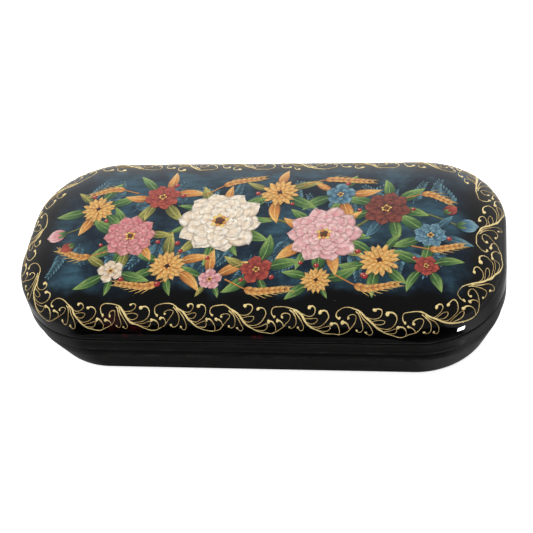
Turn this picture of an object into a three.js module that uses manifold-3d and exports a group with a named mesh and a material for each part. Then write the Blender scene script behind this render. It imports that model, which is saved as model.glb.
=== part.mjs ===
// A hinged eyeglass case of lacquered papier-mache: a domed lid closes over a lip on a tapered base.
// Millimetres, +Z up. X runs along the case, the hinge is on the +Y side, and the foot stands on Z = 0.
import * as THREE from "three";
import { mergeVertices } from "three/addons/utils/BufferGeometryUtils.js";
import Module from "manifold-3d";

// Outline and heights
const caseLength = 165;
const caseWidth = 76;
const cornerRadius = 29;
const baseHeight = 21.1;
const partingGap = 0.3;
const lidBandHeight = 5.6;
const domeRise = 9.7;
const domeExponent = 2.45;
const crownHalfWidth = 1.5;

// Lid, collar and glued joints
const lidWall = 3.2;
const edgeRound = 0.5;
const glueGap = 0.1;
const collarClearance = 0.35;
const collarThickness = 1.2;
const collarLip = 2.2;

// Base tray and rim
const rimHeight = 4.8;
const rimThickness = 1.7;
const rimOverhang = 0.85;
const shoulderHeight = 13;
const shoulderRadius = 4;
const footInset = 4.7;
const footRadius = 1.8;
const floorThickness = 3;
const floorFillet = 2.5;

// Soft linings and the pad
const liningThickness = 1;
const liningDrop = 1;
const liningLift = 0.8;
const liningFillet = 2.5;
const padHeight = 3.2;
const padMargin = 0.6;
const padBulge = 0.5;

// Hinges
const hingeSpacing = 72;
const hingeLength = 24;
const barrelRadius = 1.3;
const pinRadius = 0.5;
const pinClearance = 0.1;
const grooveClearance = 0.25;
const knuckleGap = 0.2;
const leafThickness = 0.5;
const leafEdgeMargin = 0.35;
const leafClearance = 0.1;
const stopAngle = 105;

// Nails
const nailSpacing = 15;
const nailShankRadius = 0.4;
const nailHeadRadius = 0.8;
const nailHeadHeight = 0.35;
const nailLength = 2.5;
const nailClearance = 0.08;

// Facets
const cornerSteps = 8;
const domeSteps = 9;
const filletSteps = 3;
const barrelSides = 16;
const nailSides = 10;

// Sizes that follow from those above
const halfLength = caseLength / 2;
const halfWidth = caseWidth / 2;
const lidBottom = baseHeight + partingGap;
const domeBottom = lidBottom + lidBandHeight;
const collarInset = lidWall + collarClearance;
const baseWall = collarInset - glueGap;
const collarTop = baseHeight + collarLip;
const collarInnerInset = collarInset + collarThickness;
const rimBottom = baseHeight - rimHeight;
const grooveRadius = barrelRadius + grooveClearance;
const halfStop = THREE.MathUtils.degToRad(stopAngle / 2);
const hingeInset = grooveRadius * Math.cos(halfStop);
const hingeY = halfWidth - hingeInset;
const hingeZ = baseHeight + partingGap / 2;
const leafStart = Math.sqrt(grooveRadius ** 2 - (hingeInset - leafThickness) ** 2);
const leafEnd = Math.min(domeBottom - hingeZ, hingeZ - rimBottom) - leafEdgeMargin;
const nailOffset = (leafStart + leafEnd) / 2;

// Finishes
const finish = (color, roughness, metalness = 0) => new THREE.MeshStandardMaterial({ color, roughness, metalness });
const lacquerGloss = finish(0x0b0b0c, 0.12);
const lacquerSatin = finish(0x151516, 0.35);
const lacquerRed = finish(0x8e1412, 0.25);
const velvetRed = finish(0x6e0f14, 0.95);
const brass = finish(0xb5923f, 0.35, 1);
const steel = finish(0x9a9a9c, 0.4, 1);

const wasm = await Module();
wasm.setup();

// A closed three.js geometry as a solid that can be joined and cut.
function solidOf(geometry) {
  const bare = new THREE.BufferGeometry();
  const flat = geometry.index ? geometry.toNonIndexed() : geometry;
  bare.setAttribute("position", flat.getAttribute("position"));
  const merged = mergeVertices(bare, 1e-4);
  return new wasm.Manifold(new wasm.Mesh({
    numProp: 3,
    vertProperties: merged.attributes.position.array,
    triVerts: new Uint32Array(merged.index.array),
  }));
}

// A solid back as a three.js geometry.
function geometryOf(solid) {
  const mesh = solid.getMesh();
  const geometry = new THREE.BufferGeometry();
  geometry.setAttribute("position", new THREE.BufferAttribute(new Float32Array(mesh.vertProperties), 3));
  geometry.setIndex(new THREE.BufferAttribute(new Uint32Array(mesh.triVerts), 1));
  geometry.computeVertexNormals();
  return geometry;
}

const cut = (solid, cutters) => cutters.reduce((left, cutter) => left.subtract(cutter), solid);

// The case's outline moved in by an inset, anticlockwise seen from above.
// The corners tighten with the width, so rings of growing inset nest without touching.
function outlineRing(inset, z) {
  const radius = cornerRadius * (halfWidth - inset) / halfWidth;
  const x = halfLength - inset - radius;
  const y = halfWidth - inset - radius;
  const outline = new THREE.Path();
  outline.absarc(x, y, radius, 0, Math.PI / 2);
  outline.absarc(-x, y, radius, Math.PI / 2, Math.PI);
  outline.absarc(-x, -y, radius, Math.PI, 1.5 * Math.PI);
  outline.absarc(x, -y, radius, 1.5 * Math.PI, 2 * Math.PI);
  const arcs = outline.curves.filter((curve) => curve.isEllipseCurve);
  return arcs.flatMap((arc) => arc.getPoints(cornerSteps)).map((p) => new THREE.Vector3(p.x, p.y, z));
}

// Carries a profile of [inset, z] points round the outline. An open profile starts with a cap that faces up
// and ends with one that faces down. A closed profile makes a ring.
function aroundCase(profile, closed = false) {
  const rings = profile.map(([inset, z]) => outlineRing(inset, z));
  const count = rings[0].length;
  const index = [];
  const last = closed ? rings.length : rings.length - 1;
  for (let j = 0; j < last; j++) {
    const upper = j * count;
    const lower = ((j + 1) % rings.length) * count;
    for (let i = 0; i < count; i++) {
      const next = (i + 1) % count;
      index.push(upper + i, lower + i, lower + next, upper + i, lower + next, upper + next);
    }
  }
  if (!closed) {
    const faces = THREE.ShapeUtils.triangulateShape(rings[0].map((p) => new THREE.Vector2(p.x, p.y)), []);
    const end = (rings.length - 1) * count;
    for (const [a, b, c] of faces) index.push(a, b, c, end + a, end + c, end + b);
  }
  const geometry = new THREE.BufferGeometry().setFromPoints(rings.flat());
  geometry.setIndex(index);
  return geometry;
}

// Points of a rounded profile corner, from one angle to another in degrees, in the [inset, z] plane.
function roundCorner(inset, z, radius, from, to) {
  const steps = Array.from({ length: filletSteps + 1 }, (_, i) => from + (to - from) * i / filletSteps);
  return steps.map((angle) => {
    const turn = THREE.MathUtils.degToRad(angle);
    return [inset + radius * Math.cos(turn), z + radius * Math.sin(turn)];
  });
}

// The dome's section from crown to band: a superellipse that leaves the band upright.
// Skin is how far the section lies inside the lid's outer face.
function domeSection(skin) {
  const reach = halfWidth - skin;
  const rise = domeRise - skin;
  const power = 2 / domeExponent;
  const lastTurn = Math.acos((crownHalfWidth / reach) ** (1 / power));
  return Array.from({ length: domeSteps + 1 }, (_, i) => {
    const turn = lastTurn * (1 - i / domeSteps);
    return [skin + reach * (1 - Math.cos(turn) ** power), domeBottom + rise * Math.sin(turn) ** power];
  });
}

// Inner face of the tapered tray wall at a height, measured as an inset.
const taper = footInset / (shoulderHeight - floorThickness);
const trayInnerInset = (z) => baseWall + taper * Math.max(shoulderHeight - z, 0);

function box(sizeX, y0, y1, z0, z1) {
  return new THREE.BoxGeometry(sizeX, y1 - y0, z1 - z0).translate(0, (y0 + y1) / 2, (z0 + z1) / 2);
}

// A prism along X, from a list of [y, z] points that run anticlockwise seen from +X.
function prism(points, length) {
  const shape = new THREE.Shape(points.map(([y, z]) => new THREE.Vector2(y, z)));
  const solid = new THREE.ExtrudeGeometry(shape, { depth: length, bevelEnabled: false });
  const standing = new THREE.Matrix4().makeBasis(
    new THREE.Vector3(0, 1, 0), new THREE.Vector3(0, 0, 1), new THREE.Vector3(1, 0, 0));
  return solid.translate(0, 0, -length / 2).applyMatrix4(standing);
}

function rod(radius, length, x = 0) {
  return new THREE.CylinderGeometry(radius, radius, length, barrelSides).rotateZ(Math.PI / 2).translate(x, 0, 0);
}

// Nail with a domed head, lying along Y with its head towards +Y and the head's seat at Y = 0.
function nailGeometry(extra = 0) {
  const headTop = new THREE.Vector2(0, nailHeadHeight);
  const profile = [
    new THREE.Vector2(0, -nailLength - extra),
    new THREE.Vector2(nailShankRadius + extra, -nailLength - extra),
    new THREE.Vector2(nailShankRadius + extra, 0),
    new THREE.Vector2(nailHeadRadius, 0),
    new THREE.Vector2(nailHeadRadius * 0.75, nailHeadHeight * 0.7),
    headTop,
  ];
  return new THREE.LatheGeometry(profile, nailSides);
}

const knuckleLength = (hingeLength - 2 * knuckleGap) / 3;
const knucklePitch = knuckleLength + knuckleGap;
const nailXs = [-nailSpacing / 2, nailSpacing / 2];

// A hinge leaf about the hinge axis: a plate on the back face, webs, and the knuckles at the given places.
// Side is 1 for the lid's leaf, which stands up, and -1 for the base's.
function leafGeometry(side, knuckleXs) {
  const plateSpan = [side * leafStart, side * leafEnd].sort((a, b) => a - b);
  const webSpan = [side * (barrelRadius - leafThickness), side * leafEnd].sort((a, b) => a - b);
  let leaf = solidOf(box(hingeLength, hingeInset - leafThickness, hingeInset, ...plateSpan));
  for (const x of knuckleXs) {
    const web = box(knuckleLength, hingeInset - leafThickness, hingeInset, ...webSpan).translate(x, 0, 0);
    leaf = leaf.add(solidOf(web)).add(solidOf(rod(barrelRadius, knuckleLength, x)));
  }
  leaf = leaf.subtract(solidOf(rod(pinRadius + pinClearance, hingeLength + 2)));
  const holes = nailXs.map((x) => nailAt(x, side * nailOffset, nailClearance));
  return geometryOf(cut(leaf, holes));
}

// A nail's solid, grown by a clearance, at a place on the leaf.
function nailAt(x, z, extra) {
  return solidOf(nailGeometry(extra).translate(x, hingeInset, z));
}

// Room for one hinge in the back wall: the barrel's groove, the leaves' recess and the nail holes.
function hingeRoom(x) {
  const outside = nailHeadRadius + barrelRadius;
  const length = hingeLength + 2 * leafClearance;
  const reach = leafEnd + leafClearance;
  const recess = box(length, hingeInset - leafThickness - leafClearance, hingeInset + outside, -reach, reach);
  const nails = nailXs.flatMap((nx) => [nailAt(nx, nailOffset, nailClearance), nailAt(nx, -nailOffset, nailClearance)]);
  return [solidOf(rod(grooveRadius, length)), solidOf(recess), ...nails]
    .map((cutter) => cutter.translate([x, hingeY, hingeZ]));
}

// The back edges of lid and base are bevelled away from the hinge axis, so the lid stops at the stop angle.
function backBevels() {
  const behind = hingeInset + edgeRound;
  const rise = behind * Math.tan(halfStop);
  const shift = cornerRadius - hingeInset;
  const bevelLength = caseLength - 2 * cornerRadius + 2 * Math.sqrt(cornerRadius ** 2 - shift ** 2) + 2;
  const wedge = prism([[0, 0], [behind, -rise], [behind, rise]], bevelLength);
  return solidOf(wedge).translate([0, hingeY, hingeZ]);
}

const hingeXs = { left: -hingeSpacing / 2, right: hingeSpacing / 2 };
const backCuts = [backBevels(), ...Object.values(hingeXs).flatMap(hingeRoom)];

function lidShell() {
  const band = [
    [0, lidBottom + edgeRound],
    [edgeRound, lidBottom],
    [lidWall, lidBottom],
  ];
  const profile = [...domeSection(0), ...band, ...domeSection(lidWall).reverse()];
  return geometryOf(cut(solidOf(aroundCase(profile)), backCuts));
}

function lidLining() {
  const outer = lidWall + glueGap;
  const inner = outer + liningThickness;
  const edge = collarTop + liningLift;
  return aroundCase([...domeSection(outer), [outer, edge], [inner, edge], ...domeSection(inner).reverse()]);
}

function baseTray() {
  const rabbetInset = rimThickness + glueGap;
  const rabbetTop = rimBottom - glueGap;
  const slope = THREE.MathUtils.radToDeg(Math.atan((footInset - rimOverhang) / (shoulderHeight - footRadius)));
  const shoulder = roundCorner(rimOverhang + shoulderRadius, shoulderHeight, shoulderRadius, 180, 180 + slope);
  const foot = roundCorner(footInset + footRadius, footRadius, footRadius, 180 + slope, 270);
  const floorInset = trayInnerInset(floorThickness) + floorFillet;
  const profile = [
    [floorInset, floorThickness],
    [trayInnerInset(floorThickness + floorFillet / 3), floorThickness + floorFillet / 3],
    [baseWall, shoulderHeight],
    [baseWall, baseHeight],
    [rabbetInset, baseHeight],
    [rabbetInset, rabbetTop],
    [rimOverhang, rabbetTop],
    ...shoulder,
    ...foot,
  ];
  return geometryOf(cut(solidOf(aroundCase(profile)), backCuts));
}

function baseRim() {
  const profile = [
    [edgeRound, baseHeight],
    [0, baseHeight - edgeRound],
    [0, rimBottom + edgeRound],
    [edgeRound, rimBottom],
    [rimThickness, rimBottom],
    [rimThickness, baseHeight],
  ];
  return geometryOf(cut(solidOf(aroundCase(profile, true)), backCuts));
}

function innerCollar() {
  const lead = collarThickness / 3;
  return aroundCase([
    [collarInset + lead, collarTop],
    [collarInset, collarTop - lead],
    [collarInset, shoulderHeight],
    [collarInnerInset, shoulderHeight],
    [collarInnerInset, collarTop - lead],
    [collarInnerInset - lead, collarTop],
  ], true);
}

// The lining follows the tray's taper, then stands straight inside the collar.
const liningOuter = collarInnerInset + glueGap;
const liningInner = liningOuter + liningThickness;
const liningFloor = floorThickness + glueGap;
const liningBend = shoulderHeight - (liningOuter - baseWall - glueGap) / taper;
const liningTop = collarTop - liningDrop;
const liningFootInset = trayInnerInset(liningFloor) + glueGap + floorFillet;
const padFloor = liningFloor + liningThickness;

function baseLining() {
  const rise = floorFillet / 2;
  const outerFoot = trayInnerInset(liningFloor + rise) + glueGap;
  const innerFoot = trayInnerInset(padFloor + liningFillet / 3) + glueGap + liningThickness;
  return aroundCase([
    [innerFoot + liningFillet, padFloor],
    [innerFoot, padFloor + liningFillet / 3],
    [liningInner, liningBend],
    [liningInner, liningTop],
    [liningOuter, liningTop],
    [liningOuter, liningBend],
    [outerFoot, liningFloor + rise],
    [liningFootInset, liningFloor],
  ]);
}

// A soft pad: drawn in at its foot, bulging at its side and crowned on top.
function floorPad() {
  const foot = trayInnerInset(padFloor) + glueGap + liningThickness + liningFillet + padMargin;
  const bottom = padFloor + glueGap;
  const at = (inward, height) => [foot + inward * (halfWidth - foot), bottom + height * padHeight];
  return aroundCase([
    at(0.9, 1),
    at(0.5, 0.96),
    at(0.22, 0.84),
    at(0.05, 0.58),
    at(0, 0.3),
    [foot + padBulge, bottom],
  ]);
}

function piece(name, geometry, material) {
  const mesh = new THREE.Mesh(geometry, material);
  mesh.name = name;
  return mesh;
}

// One hinge, modelled about its own axis and placed on the back edge.
function hinge(side, x) {
  const group = new THREE.Group();
  group.position.set(x, hingeY, hingeZ);
  group.add(piece(`${side}_hinge_base_leaf`, leafGeometry(-1, [-knucklePitch, knucklePitch]), brass));
  group.add(piece(`${side}_hinge_lid_leaf`, leafGeometry(1, [0]), brass));
  group.add(piece(`${side}_hinge_pin`, rod(pinRadius, hingeLength), steel));
  nailXs.forEach((nx, i) => {
    for (const [owner, z] of [["base", -nailOffset], ["lid", nailOffset]]) {
      const nail = piece(`${side}_hinge_${owner}_nail_${i + 1}`, nailGeometry(), brass);
      nail.position.set(nx, hingeInset + glueGap, z);
      group.add(nail);
    }
  });
  return group;
}

const eyeglassCase = new THREE.Group();
eyeglassCase.add(
  piece("lid_shell", lidShell(), lacquerGloss),
  piece("lid_lining", lidLining(), velvetRed),
  piece("base_tray", baseTray(), lacquerSatin),
  piece("base_rim", baseRim(), lacquerSatin),
  piece("inner_collar", innerCollar(), lacquerRed),
  piece("base_lining", baseLining(), velvetRed),
  piece("floor_pad", floorPad(), velvetRed),
);
for (const [side, x] of Object.entries(hingeXs)) eyeglassCase.add(hinge(side, x));

export default eyeglassCase;
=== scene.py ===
"""A lacquered eyeglass case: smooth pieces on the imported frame, a painted lid, and a plain studio."""
import math
import random
from functools import reduce

import bpy
import numpy as np
from mathutils import Matrix, Vector


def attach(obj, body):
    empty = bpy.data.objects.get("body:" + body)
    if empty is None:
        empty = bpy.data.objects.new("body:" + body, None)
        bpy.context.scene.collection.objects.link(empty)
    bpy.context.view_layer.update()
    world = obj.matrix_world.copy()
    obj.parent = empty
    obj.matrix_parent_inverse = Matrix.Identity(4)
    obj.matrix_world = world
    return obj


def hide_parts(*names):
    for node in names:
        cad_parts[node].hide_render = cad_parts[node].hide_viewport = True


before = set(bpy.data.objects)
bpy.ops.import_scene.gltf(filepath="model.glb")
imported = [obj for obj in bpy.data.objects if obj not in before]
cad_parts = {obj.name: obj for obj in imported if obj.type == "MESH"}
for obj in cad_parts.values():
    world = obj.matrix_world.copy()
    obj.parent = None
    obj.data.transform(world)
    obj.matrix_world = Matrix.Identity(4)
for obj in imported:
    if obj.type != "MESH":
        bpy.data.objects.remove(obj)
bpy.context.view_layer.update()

MM = 0.001

# Sizes of the case in millimetres, and the stop's angle in degrees, the same as in the part's source
LENGTH = 165.0
WIDTH = 76.0
CORNER = 29.0
BASE_TOP = 21.1
PARTING = 0.3
BAND = 5.6
DOME_RISE = 9.7
DOME_POWER = 2.45
LID_WALL = 3.2
EDGE = 0.5
GLUE = 0.1
COLLAR_CLEAR = 0.35
COLLAR = 1.2
COLLAR_LIP = 2.2
RIM = 4.8
RIM_WALL = 1.7
RIM_OVERHANG = 0.85
SHOULDER = 13.0
SHOULDER_ROUND = 4.0
FOOT_INSET = 4.7
FOOT_ROUND = 1.8
FLOOR = 3.0
FILLET = 2.5
LINING = 1.0
LINING_DROP = 1.0
LINING_LIFT = 0.8
PAD_HEIGHT = 3.2
PAD_MARGIN = 0.6
HINGE_SPACING = 72.0
HINGE_LENGTH = 24.0
BARREL = 1.3
PIN = 0.5
PIN_CLEAR = 0.1
GROOVE_CLEAR = 0.25
KNUCKLE_GAP = 0.2
LEAF = 0.5
LEAF_MARGIN = 0.35
LEAF_CLEAR = 0.1
STOP_ANGLE = 105.0
NAIL_SPACING = 15.0
NAIL_SHANK = 0.4
NAIL_HEAD = 0.8
NAIL_RISE = 0.35
NAIL_LENGTH = 2.5

# Finer sizes that only this script has, in millimetres
CROWN = 0.6
EASE = 0.2
SHADOW_STEP = 0.35
SHADOW_DEPTH = 0.9
LEDGE_ROUND = 0.25
WEB_MARGIN = 0.4
WEB_SKIN = 0.001
KNUCKLE_EASE = 0.1
PIN_EASE = 0.08
CUT_SPARE = 1.0
BEND_INSET = 0.12
BEND_BELOW = 0.3
BEND_ABOVE = 0.4
POLISH_RISE = 3.6

# Steps of a corner of the outline, on pieces that the hinges are cut into and on the others
CUT_STEPS = 40
PLAIN_STEPS = 36

# Sizes that follow
HALF_L = LENGTH / 2
HALF_W = WIDTH / 2
LID_BOTTOM = BASE_TOP + PARTING
DOME_BOTTOM = LID_BOTTOM + BAND
POLISH_LINE = LID_BOTTOM + POLISH_RISE
COLLAR_OUT = LID_WALL + COLLAR_CLEAR
COLLAR_IN = COLLAR_OUT + COLLAR
COLLAR_TOP = BASE_TOP + COLLAR_LIP
BASE_WALL = COLLAR_OUT - GLUE
RIM_BOTTOM = BASE_TOP - RIM
TAPER = FOOT_INSET / (SHOULDER - FLOOR)
GROOVE = BARREL + GROOVE_CLEAR
HALF_STOP = math.radians(STOP_ANGLE / 2)
HINGE_INSET = GROOVE * math.cos(HALF_STOP)
HINGE_Y = HALF_W - HINGE_INSET
HINGE_Z = BASE_TOP + PARTING / 2
HINGE_XS = {"left": -HINGE_SPACING / 2, "right": HINGE_SPACING / 2}
KNUCKLE = (HINGE_LENGTH - 2 * KNUCKLE_GAP) / 3
KNUCKLE_PITCH = KNUCKLE + KNUCKLE_GAP
LEAF_START = math.sqrt(GROOVE ** 2 - (HINGE_INSET - LEAF) ** 2)
LEAF_END = min(DOME_BOTTOM - HINGE_Z, HINGE_Z - RIM_BOTTOM) - LEAF_MARGIN
NAIL_OFFSET = (LEAF_START + LEAF_END) / 2


# Meshes

def linked(name, data):
    """A new object in the scene from a mesh, lamp or camera."""
    thing = bpy.data.objects.new(name, data)
    bpy.context.collection.objects.link(thing)
    return thing


def new_object(name, points_mm, faces=(), edges=()):
    """A mesh object at the origin from points in millimetres."""
    mesh = bpy.data.meshes.new(name)
    points = [tuple(point) for point in np.asarray(points_mm, float) * MM]
    mesh.from_pydata(points, list(edges), list(faces))
    mesh.update()
    return linked(name, mesh)


def smoothed(thing, angle=32):
    """Smooth shading, apart from edges sharper than an angle in degrees."""
    thing.data.shade_smooth()
    thing.data.set_sharp_from_angle(angle=math.radians(angle))
    return thing


def store(thing, name, kind, field, values):
    """Keeps a value for each point of a mesh."""
    layer = thing.data.attributes.new(name, kind, "POINT")
    layer.data.foreach_set(field, np.ravel(values).astype(np.float32))


def baked(thing):
    """The mesh that a thing's modifiers make."""
    graph = bpy.context.evaluated_depsgraph_get()
    return bpy.data.meshes.new_from_object(thing.evaluated_get(graph))


def circle(sides):
    turns = np.linspace(0, 2 * math.pi, sides, endpoint=False)
    return np.c_[np.cos(turns), np.sin(turns)]


def outline(inset, corner_steps):
    """Plan points of the case's outline moved in by an inset, anticlockwise."""
    radius = CORNER * (HALF_W - inset) / HALF_W
    x = HALF_L - inset - radius
    y = HALF_W - inset - radius
    turns = np.linspace(0, math.pi / 2, corner_steps + 1)
    arc = np.c_[np.cos(turns), np.sin(turns)] * radius
    corners = []
    for quarter, (sx, sy) in enumerate([(1, 1), (-1, 1), (-1, -1), (1, -1)]):
        turn = quarter * math.pi / 2
        spin = np.array([[math.cos(turn), math.sin(turn)], [-math.sin(turn), math.cos(turn)]])
        corners.append(arc @ spin + [sx * x, sy * y])
    return np.concatenate(corners)


def tube_faces(rows, count, start=0, loop=False, tip=False):
    """Faces through rings of points, closed as a loop, by caps, or by a tip after the last ring."""
    faces = []
    for j in range(rows if loop else rows - 1):
        near = start + j * count
        far = start + (j + 1) % rows * count
        for i in range(count):
            n = (i + 1) % count
            faces.append((near + i, far + i, far + n, near + n))
    if loop:
        return faces
    last = start + (rows - 1) * count
    faces.append(tuple(range(start, start + count)))
    if tip:
        faces += [(last + i, last + count, last + (i + 1) % count) for i in range(count)]
    else:
        faces.append(tuple(reversed(range(last, last + count))))
    return faces


def flipped(faces):
    """Faces that look the other way, each from the same first point."""
    return [(face[0], *face[:0:-1]) for face in faces]


def bar(name, sections):
    """A closed bar through (x, ring) sections from high X to low; rings turn left seen from +X."""
    points = [(x, y, z) for x, ring in sections for y, z in ring]
    return new_object(name, points, tube_faces(len(sections), len(sections[0][1])))


def box_mm(name, low, high):
    (x0, y0, z0), (x1, y1, z1) = low, high
    ring = [(y0, z0), (y1, z0), (y1, z1), (y0, z1)]
    return bar(name, [(x1, ring), (x0, ring)])


def rod_mm(name, radius, x0, x1, sides=48, ease=0.0):
    """A round bar on the hinge's axis, with its end edges eased."""
    stations = [(x1, radius), (x0, radius)]
    if ease:
        stations = [(x1, radius - ease), (x1 - ease, radius), (x0 + ease, radius), (x0, radius - ease)]
    return bar(name, [(x, circle(sides) * r + (HINGE_Y, HINGE_Z)) for x, r in stations])


def combine(thing, others, operation):
    """Joins or cuts a solid with others, which are used up."""
    for other in others:
        change = thing.modifiers.new("combine", "BOOLEAN")
        change.operation = operation
        change.solver = "MANIFOLD"
        change.object = other
    old = thing.data
    result = baked(thing)
    thing.modifiers.clear()
    thing.data = result
    result.name = thing.name
    bpy.data.meshes.remove(old)
    for other in others:
        bpy.data.objects.remove(other)


def hinge_rooms():
    """Cutters for the back edge: the bevel that stops the lid, and each hinge's groove and recess."""
    behind = HINGE_INSET + EDGE
    rise = behind * math.tan(HALF_STOP)
    half_bevel = HALF_L - CORNER + math.sqrt(CORNER ** 2 - (CORNER - HINGE_INSET) ** 2) + CUT_SPARE
    bevel = [(HINGE_Y, HINGE_Z), (HINGE_Y + behind, HINGE_Z - rise), (HINGE_Y + behind, HINGE_Z + rise)]
    cutters = [bar("bevel_room", [(half_bevel, bevel), (-half_bevel, bevel)])]
    reach = LEAF_END + LEAF_CLEAR
    half = HINGE_LENGTH / 2 + LEAF_CLEAR
    for x in HINGE_XS.values():
        low = (x - half, HALF_W - LEAF - LEAF_CLEAR, HINGE_Z - reach)
        high = (x + half, HALF_W + 2 * CUT_SPARE, HINGE_Z + reach)
        cutters.append(rod_mm("groove_room", GROOVE, x - half, x + half))
        cutters.append(box_mm("leaf_room", low, high))
    return cutters


def around_case(name, profile, loop=False, hinged=False, angle=32):
    """Carries (inset, z) points round the outline, from a top cap to a bottom cap, or in a loop."""
    steps = CUT_STEPS if hinged else PLAIN_STEPS
    rings = [(outline(inset, steps), z) for inset, z in profile]
    count = len(rings[0][0])
    points = np.concatenate([np.c_[ring, np.full(count, z)] for ring, z in rings])
    thing = new_object(name, points, tube_faces(len(rings), count, loop=loop))
    if hinged:
        combine(thing, hinge_rooms(), "DIFFERENCE")
    return smoothed(thing, angle)


def rounded(inset, z, radius, start, stop, steps=5):
    """Points of a rounded corner in the (inset, z) plane, angles in degrees."""
    turns = np.radians(np.linspace(start, stop, steps + 1))
    return [(inset + radius * math.cos(t), z + radius * math.sin(t)) for t in turns]


def dome_section(skin, steps):
    """The dome's section from crown to band, at a depth inside its outer face."""
    reach = HALF_W - skin
    power = 2 / DOME_POWER
    last = math.acos((CROWN / reach) ** (1 / power))
    section = []
    for turn in last * (1 - np.linspace(0, 1, steps + 1)):
        inset = skin + reach * (1 - math.cos(turn) ** power)
        rise = (DOME_RISE - skin) * max(math.sin(turn), 0.0) ** power
        section.append((inset, DOME_BOTTOM + rise))
    return section


def tray_inside(z):
    """Inset of the tray wall's inner face at a height."""
    return BASE_WALL + TAPER * max(SHOULDER - z, 0.0)


# Pieces of the case

def lid_shell():
    """The domed lid, with a fine step at its lower edge that keeps the parting line dark."""
    step = LID_BOTTOM + SHADOW_STEP
    return around_case("lacquered_lid", [
        *dome_section(0, 44),
        (0, DOME_BOTTOM - EASE),
        *rounded(EDGE, step + EDGE, EDGE, 180, 270),
        (SHADOW_DEPTH, step),
        (SHADOW_DEPTH, LID_BOTTOM),
        (LID_WALL - EASE, LID_BOTTOM),
        (LID_WALL, LID_BOTTOM + EASE),
        *reversed(dome_section(LID_WALL, 20)),
    ], hinged=True)


def lid_lining():
    outer = LID_WALL + GLUE
    edge = COLLAR_TOP + LINING_LIFT
    return around_case("lid_velvet", [
        *dome_section(outer, 20),
        *rounded(outer + LINING / 2, edge + LINING / 2, LINING / 2, 180, 360),
        *reversed(dome_section(outer + LINING, 20)),
    ])


def base_tray():
    rabbet = RIM_WALL + GLUE
    ledge = RIM_BOTTOM - GLUE
    slope = math.degrees(math.atan((FOOT_INSET - RIM_OVERHANG) / (SHOULDER - FOOT_ROUND)))
    floor_edge = tray_inside(FLOOR + FILLET / 3)
    return around_case("base_shell", [
        (floor_edge + FILLET, FLOOR),
        (floor_edge + FILLET * 0.3, FLOOR + FILLET * 0.08),
        (floor_edge, FLOOR + FILLET / 3),
        (BASE_WALL, SHOULDER),
        (BASE_WALL, BASE_TOP),
        (rabbet, BASE_TOP),
        (rabbet, ledge),
        *rounded(RIM_OVERHANG + LEDGE_ROUND, ledge - LEDGE_ROUND, LEDGE_ROUND, 90, 180, 3),
        *rounded(RIM_OVERHANG + SHOULDER_ROUND, SHOULDER, SHOULDER_ROUND, 180, 180 + slope, 8),
        *rounded(FOOT_INSET + FOOT_ROUND, FOOT_ROUND, FOOT_ROUND, 180 + slope, 270, 8),
    ], hinged=True)


def base_rim():
    return around_case("base_rim_band", [
        *rounded(EDGE, BASE_TOP - EDGE, EDGE, 90, 180),
        *rounded(EDGE, RIM_BOTTOM + EDGE, EDGE, 180, 270),
        (RIM_WALL, RIM_BOTTOM),
        (RIM_WALL, BASE_TOP),
    ], loop=True, hinged=True)


def inner_collar():
    lead = COLLAR / 3
    return around_case("red_collar", [
        *rounded(COLLAR_OUT + lead, COLLAR_TOP - lead, lead, 90, 180, 4),
        (COLLAR_OUT, SHOULDER),
        (COLLAR_IN, SHOULDER),
        *rounded(COLLAR_IN - lead, COLLAR_TOP - lead, lead, 0, 90, 4),
    ], loop=True)


def base_lining():
    outer = COLLAR_IN + GLUE
    inner = outer + LINING
    bottom = FLOOR + GLUE
    floor_top = bottom + LINING
    bend = SHOULDER - (outer - BASE_WALL - GLUE) / TAPER
    top = COLLAR_TOP - LINING_DROP
    rise = bottom + FILLET / 2
    foot = tray_inside(floor_top + FILLET / 3) + GLUE + LINING
    return around_case("base_velvet", [
        (foot + FILLET, floor_top),
        (foot + FILLET * 0.35, floor_top + FILLET * 0.06),
        (foot, floor_top + FILLET / 3),
        (inner + BEND_INSET, bend - BEND_BELOW),
        (inner, bend + BEND_ABOVE),
        *rounded(inner - LINING / 2, top - LINING / 2, LINING / 2, 0, 180, 8),
        (outer, bend),
        (tray_inside(rise) + GLUE, rise),
        (tray_inside(bottom) + GLUE + FILLET, bottom),
    ], angle=40)


# The pad's section from its crown to its drawn-in foot: shares of its half width and of its height
PAD_SECTION = [
    (0.9, 1.0), (0.75, 0.995), (0.6, 0.985), (0.45, 0.965), (0.33, 0.93), (0.25, 0.885), (0.2, 0.83),
    (0.175, 0.77), (0.15, 0.8), (0.11, 0.78), (0.07, 0.69), (0.035, 0.56), (0.01, 0.42), (0.0, 0.29),
    (0.004, 0.17), (0.012, 0.07), (0.022, 0.0),
]


def floor_pad():
    """The crowned pad, drawn in at its foot, with a shallow stitched line inside its edge."""
    floor_top = FLOOR + GLUE + LINING
    foot = tray_inside(floor_top) + GLUE + LINING + FILLET + PAD_MARGIN
    reach = HALF_W - foot
    bottom = floor_top + GLUE
    profile = [(foot + inward * reach, bottom + height * PAD_HEIGHT) for inward, height in PAD_SECTION]
    return around_case("velvet_pad", profile, angle=70)


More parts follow.
